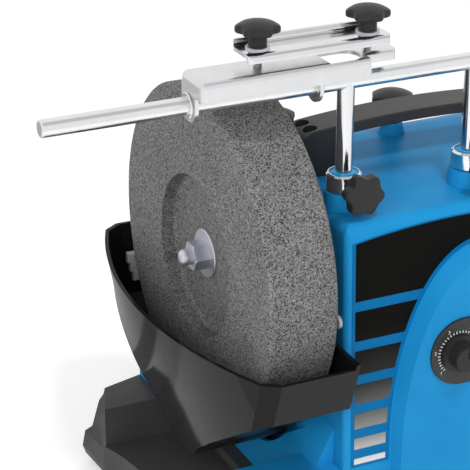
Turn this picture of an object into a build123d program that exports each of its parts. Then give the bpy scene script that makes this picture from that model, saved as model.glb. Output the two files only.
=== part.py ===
from build123d import *
import os
from math import cos, pi, radians, sin, sqrt

# A wet sharpening machine, in millimetres.
# +X runs along the wheel axis from the stone to the honing wheel, -Y is the front, Z = 0 is the floor.

# Fits
running_gap = 0.05          # radial, a turning or sliding shaft in its hole
seat_gap = 0.2              # radial, a hole round a piece that stays put
face_gap = 0.3              # between pieces that move past each other

# Grinding stone and main shaft
stone_diameter = 250.0
stone_width = 50.0
stone_face_x = -101.5       # outer face of the stone
axis_over_stone = 85.0      # floor to the lowest point of the stone
recess_diameter = 119.0
recess_depth = 10.5
recess_draft = 2.5
recess_fillet = 5.0
stone_chamfer = 1.2
shaft_diameter = 12.0
shaft_stub = 8.5            # shaft past the stone's nut
stone_washer_diameter = 36.0
stone_washer_thickness = 2.5
stone_nut_flats = 19.0
stone_nut_height = 10.8
flange_diameter = 62.0
flange_thickness = 6.0

# Housing
housing_gap = 19.0          # stone's inner face to the housing wall
housing_width = 212.0
housing_rise = 48.0         # top of the housing over the axis
housing_rear = 100.0
housing_front_top = 97.0
housing_front_foot = 105.5
housing_floor_z = 38.0
housing_wall = 3.0
housing_round = 8.0         # along the top
housing_edge = 4.0          # up the corners
housing_rear_round = 50.0   # along the top's rear edge
shaft_hole_gap = 4.0

# Bulge on the front of the housing
label_strip = 36.5          # housing's left wall to the bulge, at the foot
bulge_front = 113.0
bulge_bevel = 5.0
bulge_spring_drop = 128.0   # where the arch starts, under the axis
bulge_arch = 147.0

# Flared foot and screw lugs of the housing
skirt_reach = 31.0
skirt_height = 62.0
lug_thickness = 6.0
lug_depth = 34.0
lug_reach_left = 72.0
lug_reach_right = 26.0

# Label on the front face
label_inset = 5.4
label_thickness = 0.4
label_side_gap = 0.4
stripe_thickness = 0.3
stripe_margin = 2.4
stripe_side_gap = 3.5
stripe_gap = 7.6
stripe_heights = (22.5, 18.5, 15.0, 12.0, 8.6, 4.5)
band_bottom_drop = 8.8
band_margin = 1.0
band_end_rise = 34.5
band_mid_rise = 39.6
band_peak_rise = 41.2

# Control panel, dial and switch
panel_inset = 25.0
panel_height = 52.0
panel_thickness = 2.0
panel_drop = 57.0
dial_diameter = 28.0
dial_height = 13.0
dial_skirt_height = 3.0
dial_ridges = 24
pot_shaft_diameter = 6.0
pot_body_diameter = 17.0
pot_body_length = 9.0
board_length = 62.0
board_height = 44.0
board_thickness = 1.6
switch_width = 22.0
switch_height = 30.0
switch_bezel = 2.5
switch_bezel_thickness = 2.4
switch_body_depth = 17.0
rocker_thickness = 9.0
rocker_angle = 9.0
rocker_pin_diameter = 3.0
rocker_pin_length = 1.2
switch_well_wall = 1.5

# Support bar, posts and sleeves
bar_diameter = 12.0
bar_over_stone = 27.6       # stone's rim to the bar's axis
bar_forward = 63.0
bar_overhang = 132.0        # bar past the stone's outer face
bar_tail = 12.0             # bar past the right post
post_inset = 16.0
post_spacing = 100.0
post_foot_drop = 10.0
sleeve_wall = 2.5
sleeve_foot_drop = 26.0
collar_wall = 6.3
collar_height = 13.2
collar_groove_depth = 1.0
collar_groove_margin = 1.9
boss_rise = 12.2
boss_flare = 1.7
rear_sleeve_drop = 33.0     # under the housing's top
rear_sleeve_inner_y = 36.0
rear_collar_length = 8.0
rear_knob_y = 46.0
rear_boss_rise = 9.0
rear_boss_radius = 8.0
rear_boss_flare = 3.0

# Clamp knobs
clamp_knob_diameter = 30.3
clamp_knob_height = 12.0
clamp_knob_turn = -8.0      # as left after tightening
clamp_stem_diameter = 12.4
clamp_stem_height = 11.0
rear_knob_diameter = 34.0
rear_knob_height = 9.5
rear_knob_crown = 5.0
rear_stem_height = 15.9
clamp_stud_diameter = 6.0
knob_lobes = 6
knob_lobe_depth = 1.5
knob_crown = 4.0
knob_edge = 1.8

# Square-edge jig on the bar
jig_from_post = 115.4       # jig's left end to the left post
jig_channel_length = 122.4
jig_width = 31.3
jig_front_reach = 21.7      # jig's front face, ahead of the bar
jig_sheet = 2.5
jig_fold = 4.0
plate_over_bar = 21.0       # lower plate's top, over the bar's axis
eye_wall = 5.0
bush_wall = 2.0
bush_rim = 2.9
bush_rim_thickness = 1.6
eye_spacing = 90.4
window_length = 27.0
window_corner = 10.0
window_rear_strip = 7.0
tail_length = 25.0
tail_width = 21.0
tail_depth = 7.0
stud_diameter = 6.0
stud_left = 47.4            # from the jig's left end
stud_right = 128.4
stud_back = 4.0             # studs, ahead of the bar
clamp_gap = 6.5
clamp_left = 34.4
clamp_length = 106.0
clamp_width = 26.0
clamp_front_height = 6.0
clamp_rear_height = 4.5
clamp_bend = 3.4            # middle of the sheet
clamp_corner = 5.0
jig_washer_diameter = 16.4
jig_washer_thickness = 1.5
jig_knob_diameter = 30.0
jig_knob_height = 8.6
jig_knob_turn = -25.0
jig_stem_height = 8.5
jig_knob_bore_depth = 14.0
stud_in_knob = 7.0

# Handle
handle_inset = 11.0
handle_depth = 29.0
handle_centre_y = 4.5
handle_rise = 39.2          # top of the arch over the housing
handle_sag = 5.5
handle_strap = 8.2
handle_leg = 31.0
handle_corner = 12.0
handle_inner_corner = 9.0
handle_edge = 1.0
handle_screw_inset = 10.3
handle_screw_spacing = 12.5
handle_screw_diameter = 4.0
handle_screw_head = 10.0
handle_screw_head_height = 4.0
handle_screw_seat = 12.0
handle_screw_bite = 12.0

# Trough
trough_wall = 3.0
trough_clearance = 4.0      # housing round the trough
trough_rim_drop = 36.0
trough_flange_gap = 0.5     # raised wall beside the housing, under the stone's flange
trough_end_gap = 22.5
trough_shift = 5.5          # trough's middle, behind the axis
trough_bow = 42.0
trough_side_gap = 8.0
trough_chamfer_x = 12.0
trough_chamfer_y = 8.0
trough_end_lean = 0.335     # run over drop of the end walls
trough_side_lean = 0.32
trough_front_shelf_drop = 72.0
trough_rear_shelf_drop = 88.0
# Points of the lobe under the stone: degrees from straight down, and gap to the stone
trough_front_lobe = ((30.0, 7.0), (16.0, 15.0))
trough_rear_lobe = ((30.0, 7.0), (12.0, 5.5))
trough_sump_gap = 26.0
trough_sump_forward = 12.0
trough_lip = 8.0
trough_lip_height = 4.0
rail_height = 12.0
rail_length = 170.0
magnet_size = (9.0, 5.0, 24.0)
magnet_x = 1.0
magnet_drop = 54.0

# Base
base_floor_z = 6.0
pan_top_z = 32.0
base_wall = 4.0
pan_left = 50.0             # pan's left end, past the stone's face
pan_waist = 12.0
plinth_reach = 45.0         # plinth past the housing's left wall
plinth_margin = 7.0
plinth_chamfer = 3.0
leg_inner_y = 62.0
leg_right_reach = 44.0
leg_depth = 42.0
leg_corner = 14.0
leg_shoulder = 32.0
# Height and outward spread at each level of a leg
leg_levels = (
    (64.0, 0.0), (59.0, 1.0), (53.0, 4.5), (30.5, 10.0), (26.5, 15.3), (13.0, 17.6), (base_floor_z, 15.3)
)
foot_diameter = 26.0
foot_bite = 4.0
base_screw_diameter = 5.0
base_screw_head = 10.0
base_screw_head_height = 3.4
base_screw_bite = 16.0

# Chassis, bearings and drive
upright_inset = 8.0
upright_thickness = 3.0
upright_half_width = 34.0
bearing_diameter = 28.0
bearing_width = 8.0
bearing_cup_wall = 4.0
chassis_rear = 85.0
chassis_front = 70.0
drive_wheel_diameter = 82.0
drive_wheel_width = 18.0
drive_tyre_depth = 6.0
drive_wheel_inset = 22.0
wheel_rim_wall = 7.0
roller_diameter = 14.0
roller_width = 24.0
motor_angle = 60.0          # below the horizontal, towards the rear
motor_shaft_space = 3.3     # motor's side to the main shaft
motor_length = 92.0
motor_shaft_diameter = 8.0
motor_nose = 22.0
motor_cap_length = 12.0
bracket_thickness = 4.0
bracket_gap = 10.0
bracket_foot = 24.0
bracket_trim = 4.0

# Honing wheel
honing_gap = 8.0
honing_diameter = 200.0
honing_width = 30.0
leather_thickness = 3.0
honing_hub_diameter = 40.0
honing_web = 8.0
honing_washer_diameter = 32.0
honing_nut_diameter = 34.0
honing_nut_height = 12.0
shaft_tail = 1.5

# Rear cover, gland and screws
cover_margin = 22.0
cover_foot = 46.0
cover_thickness = 2.4
cover_overlap = 5.0
vent_count = 9
vent_pitch = 11.0
vent_width = 5.0
vent_height = 46.0
small_screw_diameter = 4.0
small_screw_head = 8.0
small_screw_head_height = 2.4
small_screw_length = 9.0
gland_diameter = 18.0
gland_length = 13.0
gland_hole = 7.5
gland_inset = 34.0
gland_over_floor = 26.0
wall_screw_head = 9.6
wall_screw_y = 91.5
wall_screw_drop = 25.5

# Places worked out from the sizes above
stone_radius = stone_diameter / 2
shaft_radius = shaft_diameter / 2
axis_z = stone_radius + axis_over_stone
stone_inner_x = stone_face_x + stone_width
house_x0 = stone_inner_x + housing_gap
house_x1 = house_x0 + housing_width
house_mid_x = (house_x0 + house_x1) / 2
house_z0 = housing_floor_z
house_z1 = axis_z + housing_rise
bulge_half = housing_width / 2 - label_strip
bulge_spring_z = axis_z - bulge_spring_drop
panel_length = 2 * (bulge_half - panel_inset)
panel_z = axis_z - panel_drop
panel_front_y = -bulge_front - panel_thickness
dial_x = house_mid_x - panel_length / 4
switch_x = house_mid_x + panel_length / 4
bar_radius = bar_diameter / 2
bar_y = -bar_forward
bar_z = axis_z + sqrt((stone_radius + bar_over_stone) ** 2 - bar_forward ** 2)
left_post_x = house_x0 + post_inset
right_post_x = left_post_x + post_spacing
sleeve_radius = bar_radius + sleeve_wall
collar_radius = bar_radius + collar_wall
collar_z0 = house_z1 + boss_rise
collar_z1 = collar_z0 + collar_height
rear_sleeve_z = house_z1 - rear_sleeve_drop
lug_z0 = leg_levels[0][0] + seat_gap
lug_z1 = lug_z0 + lug_thickness
lug_y0 = leg_inner_y + 2 * plinth_chamfer
lug_y1 = lug_y0 + lug_depth
jig_x0 = left_post_x - jig_from_post
jig_y0 = bar_y - jig_front_reach
jig_y1 = jig_y0 + jig_width
jig_z1 = bar_z + plate_over_bar
jig_depth = plate_over_bar - bar_radius - bush_wall
stud_y = bar_y - stud_back
clamp_z0 = jig_z1 + clamp_gap
clamp_top_z = clamp_z0 + clamp_front_height
stud_xs = (jig_x0 + stud_left, jig_x0 + stud_right)
jig_knob_z = clamp_top_z + jig_washer_thickness
rim_z = axis_z - trough_rim_drop
trough_wall_z = axis_z - flange_diameter / 2 - trough_flange_gap
trough_end = stone_radius + trough_end_gap
trough_x1 = stone_inner_x + trough_side_gap
trough_bottom_z = axis_z - stone_radius - trough_sump_gap
upright_left_x = house_x0 + upright_inset
upright_right_x = house_x1 - upright_inset - upright_thickness
drive_x0 = upright_right_x - drive_wheel_inset - drive_wheel_width
motor_reach = (drive_wheel_diameter + roller_diameter) / 2 + face_gap
motor_diameter = 2 * (motor_reach - shaft_radius - motor_shaft_space)
motor_y = motor_reach * cos(radians(motor_angle))
motor_z = axis_z - motor_reach * sin(radians(motor_angle))
bracket_x0 = drive_x0 - bracket_gap - bracket_thickness
honing_x0 = house_x1 + honing_gap
honing_x1 = honing_x0 + honing_width
honing_nut_x1 = honing_x1 + stone_washer_thickness + honing_nut_height
nut_x0 = stone_face_x + recess_depth - stone_washer_thickness - stone_nut_height
shaft_x0 = nut_x0 - shaft_stub
shaft_x1 = honing_nut_x1 + shaft_tail

pieces = {}


def block(x0, x1, y0, y1, z0, z1):
    return Pos((x0 + x1) / 2, (y0 + y1) / 2, (z0 + z1) / 2) * Box(x1 - x0, y1 - y0, z1 - z0)


def rod_x(x0, x1, radius, y, z):
    return Pos((x0 + x1) / 2, y, z) * Rot(0, 90, 0) * Cylinder(radius, x1 - x0)


def rod_y(y0, y1, radius, x, z):
    return Pos(x, (y0 + y1) / 2, z) * Rot(90, 0, 0) * Cylinder(radius, y1 - y0)


def rod_z(z0, z1, radius, x, y):
    return Pos(x, y, (z0 + z1) / 2) * Cylinder(radius, z1 - z0)


def ring_x(x0, x1, outer, inner):
    return rod_x(x0, x1, outer, 0, axis_z) - rod_x(x0 - 1, x1 + 1, inner, 0, axis_z)


def hexagon_x(x0, x1, flats):
    face = Plane.YZ.offset(x0) * Pos(0, axis_z) * RegularPolygon(flats / 2, 6, major_radius=False)
    return extrude(face, x1 - x0)


def edges_at_x(shape, x):
    return shape.edges().filter_by_position(Axis.X, x - 0.01, x + 0.01)


def edges_at_z(shape, z):
    return shape.edges().filter_by_position(Axis.Z, z - 0.01, z + 0.01)


def screws(places, axis, diameter, length, head, head_height):
    # Pan-head screws seated at their places, with the head out along +axis or -axis.
    shapes = []
    for place in places:
        plane = Plane(origin=place, z_dir=axis)
        cap = extrude(plane * Circle(head / 2), head_height)
        cap = fillet(cap.edges().sort_by(Axis(place, axis))[-1], head_height * 0.45)
        cross = Rectangle(head * 0.56, head * 0.12) + Rectangle(head * 0.12, head * 0.56)
        cap = cap - extrude(plane.offset(head_height * 0.5) * cross, head_height)
        shapes.append(cap + extrude(plane * Circle(diameter / 2), -length))
    return Compound(children=[shape.solids()[0] for shape in shapes])


def star_head(diameter, height, crown=knob_crown):
    # Lobed knob head on z = 0, with a crowned top and softened edges.
    mid = diameter / 2 - knob_lobe_depth
    steps = knob_lobes * 8
    outline = [
        (
            (mid + knob_lobe_depth * cos(knob_lobes * 2 * pi * k / steps)) * cos(2 * pi * k / steps),
            (mid + knob_lobe_depth * cos(knob_lobes * 2 * pi * k / steps)) * sin(2 * pi * k / steps),
        )
        for k in range(steps)
    ]
    head = extrude(make_face(Spline(outline, periodic=True)), height)
    crown_radius = ((diameter / 2) ** 2 + crown ** 2) / (2 * crown)
    head = head & (Pos(0, 0, height - crown_radius) * Sphere(crown_radius))
    return fillet(head.edges().filter_by(GeomType.LINE, reverse=True), knob_edge)


def clamp_knob(head, stem_height, stud_length):
    # Star knob with its stem's foot on z = 0 and its stud below.
    stem = Pos(0, 0, stem_height / 2) * Cylinder(clamp_stem_diameter / 2, stem_height + 0.4)
    stud = Pos(0, 0, -stud_length / 2) * Cylinder(clamp_stud_diameter / 2, stud_length + 0.4)
    return (Pos(0, 0, stem_height) * head) + stem + stud


def front_y(z):
    lean = (housing_front_foot - housing_front_top) / (house_z1 - house_z0)
    return -housing_front_top - (house_z1 - z) * lean


# Grinding stone and what holds it on the shaft
def make_grinder():
    stone = ring_x(stone_face_x, stone_inner_x, stone_radius, shaft_radius + seat_gap)
    recess_radius = recess_diameter / 2
    recess = Cone(recess_radius, recess_radius - recess_draft, recess_depth)
    recess = fillet(recess.edges().sort_by(Axis.Z)[-1], recess_fillet)
    recess = Pos(stone_face_x + recess_depth / 2, 0, axis_z) * Rot(0, 90, 0) * recess
    stone = stone - recess
    rims = stone.edges().filter_by(GeomType.CIRCLE).group_by(lambda edge: edge.radius)[-1]
    pieces["grinding_stone"] = chamfer(rims, stone_chamfer)

    bore = shaft_radius + seat_gap
    flange_x1 = stone_inner_x + flange_thickness
    pieces["stone_flange"] = ring_x(stone_inner_x, flange_x1, flange_diameter / 2, bore)
    seat_x = stone_face_x + recess_depth
    washer = ring_x(seat_x - stone_washer_thickness, seat_x, stone_washer_diameter / 2, bore)
    pieces["stone_washer"] = chamfer(edges_at_x(washer, seat_x - stone_washer_thickness), 0.5)
    nut_x1 = nut_x0 + stone_nut_height
    nut = hexagon_x(nut_x0, nut_x1, stone_nut_flats) - rod_x(nut_x0 - 1, nut_x1 + 1, bore, 0, axis_z)
    corner = stone_nut_flats / 2 * 1.075
    lead = Pos(nut_x0 + stone_nut_height / 2, 0, axis_z) * Rot(0, 90, 0)
    nut = nut & (lead * Cone(corner, corner + stone_nut_height * 1.2, stone_nut_height))
    pieces["stone_nut"] = nut

    shaft = rod_x(shaft_x0, shaft_x1, shaft_radius, 0, axis_z)
    shaft = fillet(edges_at_x(shaft, shaft_x0), shaft_radius * 0.72)
    pieces["main_shaft"] = fillet(edges_at_x(shaft, shaft_x1), 1.0)

    tyre_inner = drive_wheel_diameter / 2 - drive_tyre_depth
    drive_x1 = drive_x0 + drive_wheel_width
    wheel = ring_x(drive_x0, drive_x1, tyre_inner, bore)
    web_x1 = drive_x0 + drive_wheel_width / 3
    web = ring_x(drive_x0 - 1, web_x1, tyre_inner - wheel_rim_wall, honing_hub_diameter / 2)
    pieces["drive_wheel"] = wheel - web - web.moved(Pos(drive_wheel_width / 3 * 2 + 1, 0, 0))
    pieces["drive_tyre"] = ring_x(drive_x0, drive_x1, drive_wheel_diameter / 2, tyre_inner + running_gap)

    core_radius = honing_diameter / 2 - leather_thickness
    core = ring_x(honing_x0, honing_x1, core_radius, bore)
    dish_depth = (honing_width - honing_web) / 2
    hub_radius = honing_hub_diameter / 2
    dish = ring_x(honing_x1 - dish_depth, honing_x1 + 1, core_radius - wheel_rim_wall, hub_radius)
    core = core - dish - dish.moved(Pos(dish_depth - honing_width - 1, 0, 0))
    pieces["honing_core"] = core
    pieces["honing_leather"] = ring_x(honing_x0, honing_x1, honing_diameter / 2, core_radius + running_gap)
    washer_x1 = honing_x1 + stone_washer_thickness
    pieces["honing_washer"] = ring_x(honing_x1, washer_x1, honing_washer_diameter / 2, bore)
    nut_face = Plane.YZ.offset(washer_x1) * Pos(0, axis_z) * Circle(honing_nut_diameter / 2)
    notches = PolarLocations(honing_nut_diameter / 2 + 1.5, 8)
    nut_face = nut_face - Plane.YZ.offset(washer_x1) * Pos(0, axis_z) * notches * Circle(4)
    hand_nut = extrude(nut_face, honing_nut_height)
    pieces["honing_nut"] = hand_nut - rod_x(washer_x1 - 1, honing_nut_x1 + 1, bore, 0, axis_z)


# Blue housing: one moulded shell, open below and at the rear cover
def housing_body(inset):
    # Where the same block with rounded corners, rounded ends and a rounded front and rear overlap.
    z0 = house_z0 - (1 if inset else 0)
    z1 = house_z1 - inset
    outline = Polyline(
        (front_y(z0) + inset, z0),
        (front_y(z1) + inset, z1),
        (housing_rear - inset, z1),
        (housing_rear - inset, z0),
        close=True,
    )
    face = Plane.YZ.offset(house_x0 + inset) * make_face(outline)
    body = extrude(face, housing_width - 2 * inset)
    upper = edges_at_z(body, z1)
    upright = [edge for edge in body.edges() if z0 + 1 < edge.center().Z < z1 - 1]
    cornered = fillet(upright, housing_edge - inset)
    ended = fillet(upper.filter_by(Axis.Y), housing_round - inset)
    front, rear = upper.filter_by(Axis.X).sort_by(Axis.Y)
    fronted = fillet(front, housing_round - inset)
    backed = fillet(rear, housing_rear_round - inset)
    return cornered & ended & fronted & backed


def bulge_outline(half_width, arch, y):
    low = house_z0 - bulge_spring_z
    arc = EllipticalCenterArc((0, 0), half_width, arch, 0, arc_size=180)
    sides = Polyline((-half_width, 0), (-half_width, low), (half_width, low), (half_width, 0))
    return Plane.XZ.offset(-y) * Pos(house_mid_x, bulge_spring_z) * make_face([arc, sides])


def bulge_body(inset):
    root_y = -housing_front_top + housing_wall + inset
    shoulder_y = -housing_front_top - housing_wall
    half = bulge_half - inset
    arch = bulge_arch - inset
    front = -bulge_front + inset
    root = extrude(bulge_outline(half, arch, root_y), root_y - shoulder_y)
    nose = loft(
        [bulge_outline(half, arch, shoulder_y), bulge_outline(half - bulge_bevel, arch - bulge_bevel, front)],
        ruled=True,
    )
    return root + nose


def skirt_body(inset):
    x1 = house_x0 + housing_wall
    z0 = house_z0 - (1 if inset else 0)
    slope = skirt_reach / skirt_height
    outline = Polyline(
        (x1, z0),
        (house_x0 - skirt_reach + inset * 1.2, z0),
        (house_x0 + inset * 1.2, house_z0 + skirt_height),
        (x1, house_z0 + skirt_height - inset * slope),
        close=True,
    )
    y1 = housing_rear - housing_round - inset
    face = Plane.XZ.offset(-y1) * make_face(outline)
    return extrude(face, y1 + housing_front_top - housing_round - inset)


def trough_outline(z, grow):
    # Plan of the trough at one height: straight ends, chamfered corners and a bowed outer wall.
    drop = rim_z - z
    y = trough_end + grow - drop * trough_end_lean
    x1 = trough_x1 + grow
    corner_x = stone_face_x - grow * 0.6
    chamfer_x = corner_x - trough_chamfer_x
    chamfer_y = y - trough_chamfer_y
    bow_x = stone_face_x - trough_bow - grow + drop * trough_side_lean
    bow_x = min(bow_x, chamfer_x - 1)
    bow = ThreePointArc((chamfer_x, chamfer_y), (bow_x, 0), (chamfer_x, -chamfer_y))
    rest = Polyline(
        (chamfer_x, -chamfer_y),
        (corner_x, -y),
        (x1, -y),
        (x1, y),
        (corner_x, y),
        (chamfer_x, chamfer_y),
    )
    return Pos(0, trough_shift, z) * make_face([bow, rest])


def trough_body(grow, top_z):
    # Tapered hull cut to the rounded lobe that follows the stone.
    deep_z = trough_bottom_z - grow - 1
    hull = loft([trough_outline(top_z, grow), trough_outline(deep_z, grow)], ruled=True)

    def polar(angle, gap):
        reach = stone_radius + gap + grow
        return (reach * sin(radians(angle)), axis_z - reach * cos(radians(angle)))

    def half(shelf_drop, lobe):
        wide = 2 * trough_end
        shelf_z = axis_z - shelf_drop - grow
        shoulder = (stone_radius + trough_wall + grow, shelf_z)
        return [(wide, top_z + 1), (wide, shelf_z), shoulder] + [polar(angle, gap) for angle, gap in lobe]

    rear = half(trough_rear_shelf_drop, trough_rear_lobe)
    front = [(-y, z) for y, z in half(trough_front_shelf_drop, trough_front_lobe)]
    bottom = ThreePointArc(front[-1], (-trough_sump_forward, trough_bottom_z - grow), rear[-1])
    lines = [bottom, Polyline(*rear[::-1], *front)]
    face = Plane.YZ.offset(stone_face_x - 3 * trough_bow) * make_face(lines)
    return hull & extrude(face, 6 * trough_bow + stone_width)


def lug_boxes(grow):
    # Screw lugs over the base's legs, two on each side of the housing.
    left = (house_x0 - lug_reach_left - grow, house_x0 + housing_wall)
    right = (house_x1 - housing_wall, house_x1 + lug_reach_right + grow)
    boxes = []
    for x0, x1 in (left, right):
        for y0, y1 in ((lug_y0, lug_y1), (-lug_y1, -lug_y0)):
            boxes.append(block(x0, x1, y0 - grow, y1 + grow, lug_z0 - grow, lug_z1 + grow))
    return boxes


def lug_screw_places():
    inset = base_screw_head
    xs = (house_x0 - lug_reach_left + inset, house_x1 + lug_reach_right - inset)
    return [(x, side * (lug_y0 + lug_y1) / 2, lug_z1) for x in xs for side in (-1, 1)]


def handle_screw_places():
    xs = (house_x0 + handle_inset + handle_screw_inset, house_x1 - handle_inset - handle_screw_inset)
    ys = (handle_centre_y - handle_screw_spacing / 2, handle_centre_y + handle_screw_spacing / 2)
    return [(x, y, house_z1 + handle_screw_seat) for x in xs for y in ys]


def cover_box():
    low = house_z0 + cover_foot
    high = min(rear_sleeve_z - collar_radius - cover_overlap, house_z1 - housing_rear_round) - cover_overlap
    return house_x0 + cover_margin, house_x1 - cover_margin, low, high


def cover_screw_places():
    x0, x1, z0, z1 = cover_box()
    inset = cover_overlap + small_screw_head / 2
    y = housing_rear + cover_thickness
    return [(x, y, z) for x in (x0 + inset, x1 - inset) for z in (z0 + inset, z1 - inset)]


def wall_screw_places():
    z = axis_z - wall_screw_drop
    return [(house_x0, side * wall_screw_y, z) for side in (-1, 1)]


def make_housing():
    shell = housing_body(0) + bulge_body(0)
    rear_hole_y = housing_rear - housing_rear_round
    for x in (left_post_x, right_post_x):
        shell = shell + rod_y(rear_hole_y, housing_rear, collar_radius + 1, x, rear_sleeve_z)
    shell = shell - housing_body(housing_wall) - bulge_body(housing_wall)
    for x, y, z in handle_screw_places():
        shell = shell + rod_z(house_z1 - handle_screw_bite, house_z1 - 1, handle_screw_diameter, x, y)
        reach = handle_screw_diameter / 2 + seat_gap
        shell = shell - rod_z(house_z1 - handle_screw_bite - 1, house_z1 + 1, reach, x, y)
    for x in (left_post_x, right_post_x):
        shell = shell - rod_z(house_z1 - 4 * boss_rise, house_z1 + 1, sleeve_radius + seat_gap, x, bar_y)
        stud_hole = clamp_stud_diameter / 2 + seat_gap
        shell = shell - rod_z(rear_sleeve_z, house_z1 + 1, stud_hole, x, rear_knob_y)
        shell = shell - rod_y(rear_hole_y, housing_rear + 1, sleeve_radius + seat_gap, x, rear_sleeve_z)
    shell = shell - rod_x(house_x0 - 1, house_x1 + 1, shaft_radius + shaft_hole_gap, 0, axis_z)
    x0, x1, z0, z1 = cover_box()
    lip = 2 * cover_overlap + small_screw_head
    shell = shell - block(x0 + lip, x1 - lip, housing_rear - 10, housing_rear + 1, z0 + lip, z1 - lip)
    hole = small_screw_diameter / 2 + seat_gap
    for x, y, z in cover_screw_places():
        shell = shell - rod_y(housing_rear - 10, housing_rear + 1, hole, x, z)
    for x, y, z in wall_screw_places():
        shell = shell - rod_x(x - 1, house_x0 + 10, hole, y, z)
    gland_z = house_z0 + gland_over_floor
    gland_x = house_x1 - gland_inset
    gland_seat = gland_diameter / 3 + seat_gap
    shell = shell - rod_y(housing_rear - 10, housing_rear + 1, gland_seat, gland_x, gland_z)
    shell = shell - switch_opening(-bulge_front - 1, -bulge_front + 2 * housing_wall, seat_gap)
    shaft_hole = pot_shaft_diameter / 2 + 1
    shell = shell - rod_y(-bulge_front - 1, -bulge_front + 2 * housing_wall, shaft_hole, dial_x, panel_z)
    pieces["housing_shell"] = shell

    length = base_screw_bite + lug_thickness
    pieces["base_screws"] = screws(
        lug_screw_places(), (0, 0, 1), base_screw_diameter, length, base_screw_head, base_screw_head_height
    )
    pieces["wall_screws"] = screws(
        wall_screw_places(), (-1, 0, 0), small_screw_diameter, small_screw_length, wall_screw_head,
        small_screw_head_height,
    )


def make_skirt():
    # Sloped foot beside the trough and the four screw lugs, set against the housing's side walls.
    skirt = skirt_body(0)
    for lug in lug_boxes(0):
        skirt = skirt + lug
    skirt = skirt - skirt_body(housing_wall) - trough_body(trough_clearance, rim_z)
    x0 = house_x0 - seat_gap
    x1 = house_x1 + seat_gap
    skirt = skirt - block(x0, x1, -2 * housing_rear, 2 * housing_rear, 0, house_z1)
    for x, y, z in lug_screw_places():
        skirt = skirt - rod_z(lug_z0 - 1, lug_z1 + 1, base_screw_diameter / 2 + seat_gap, x, y)
    pieces["housing_skirt"] = Compound(children=skirt.solids())


def make_bosses():
    # Rings on the housing's top that carry the front collars and the rear knobs.
    body = housing_body(-seat_gap)
    stud_hole = clamp_stud_diameter / 2 + seat_gap
    kinds = (
        (bar_y, collar_radius + 1, boss_flare, boss_rise, sleeve_radius + seat_gap),
        (rear_knob_y, rear_boss_radius, rear_boss_flare, rear_boss_rise, stud_hole),
    )
    rings = []
    for x in (left_post_x, right_post_x):
        for y, radius, flare, rise, bore in kinds:
            ring = Cone(radius + flare, radius, rise + housing_wall)
            ring = Pos(x, y, house_z1 + (rise - housing_wall) / 2) * ring - body
            rings.append((ring - rod_z(house_z1 - 2 * housing_wall, house_z1 + rise + 1, bore, x, y)).solid())
    pieces["post_bosses"] = Compound(children=rings)


def make_rear_cover():
    x0, x1, z0, z1 = cover_box()
    cover = block(x0, x1, housing_rear, housing_rear + cover_thickness, z0, z1)
    cover = fillet(cover.edges().filter_by(Axis.Y), cover_overlap)
    mid_x = (x0 + x1) / 2
    mid_z = (z0 + z1) / 2
    for k in range(vent_count):
        x = mid_x + (k - (vent_count - 1) / 2) * vent_pitch
        slot = Plane.XZ.offset(-housing_rear - cover_thickness - 1) * Pos(x, mid_z)
        slot = slot * SlotOverall(vent_height, vent_width, rotation=90)
        cover = cover - extrude(slot, cover_thickness + 2)
    for x, y, z in cover_screw_places():
        hole = small_screw_diameter / 2 + seat_gap
        cover = cover - rod_y(housing_rear - 1, y + 1, hole, x, z)
    pieces["rear_cover"] = cover
    pieces["cover_screws"] = screws(
        cover_screw_places(), (0, 1, 0), small_screw_diameter, small_screw_length, small_screw_head,
        small_screw_head_height,
    )
    gland_z = house_z0 + gland_over_floor
    gland_x = house_x1 - gland_inset
    gland = rod_y(housing_rear, housing_rear + gland_length, gland_diameter / 2, gland_x, gland_z)
    gland = chamfer(gland.faces().sort_by(Axis.Y)[-1].edges(), 3)
    gland = gland + rod_y(housing_rear - 8, housing_rear + 1, gland_diameter / 3, gland_x, gland_z)
    hole = rod_y(housing_rear - 9, housing_rear + gland_length + 1, gland_hole / 2, gland_x, gland_z)
    pieces["cable_gland"] = gland - hole


# Label: a thin field on the leaning front face, with stripes on it
def label_plane():
    run = front_y(house_z0) - front_y(house_z1)
    rise = house_z1 - house_z0
    return Plane(origin=(house_mid_x, front_y(axis_z), axis_z), x_dir=(1, 0, 0), z_dir=(0, -rise, -run))


def label_field(side_gap, margin, low, high):
    # The front face beside and over the bulge, between two heights on the leaning plane.
    left = house_x0 + label_inset + margin - house_mid_x
    outer = Polyline((left, low), (left, high), (-left, high), (-left, low), close=True)
    half = bulge_half + side_gap
    spring = bulge_spring_z - axis_z
    arch = EllipticalCenterArc((0, spring), half, bulge_arch + side_gap, 0, arc_size=180)
    foot_z = min(low, spring) - label_strip
    foot = Polyline((-half, spring), (-half, foot_z), (half, foot_z), (half, spring))
    return make_face(outer) - make_face([arch, foot])


def band_top(margin):
    left = house_x0 + label_inset - house_mid_x
    mid = left * 0.6
    end = band_end_rise - margin
    peak = (0, band_peak_rise - margin)
    arcs = [
        ThreePointArc((side * left, end), (side * mid, band_mid_rise - margin), peak) for side in (1, -1)
    ]
    rest = Polyline((left, end), (left, -housing_rise), (-left, -housing_rise), (-left, end))
    return make_face([*arcs, rest])


def make_label():
    plane = label_plane()
    low = -band_bottom_drop
    rows = []
    for height in stripe_heights:
        high = low - stripe_gap
        low = high - height
        rows.append((low, high))
    lower = label_field(label_side_gap, 0, low - stripe_margin, -housing_rise)
    upper = label_field(label_side_gap, 0, -housing_rise - 1, housing_rise) & band_top(0)
    pieces["label_field"] = extrude(plane * (lower + upper), label_thickness)
    band = label_field(stripe_side_gap, stripe_margin, -band_bottom_drop, housing_rise)
    stripes = [band & band_top(band_margin)]
    stripes += [label_field(stripe_side_gap, stripe_margin, a, b) for a, b in rows]
    solids = []
    for stripe in stripes:
        solids += extrude(plane.offset(label_thickness) * stripe, stripe_thickness).solids()
    pieces["label_stripes"] = Compound(children=solids)


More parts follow.
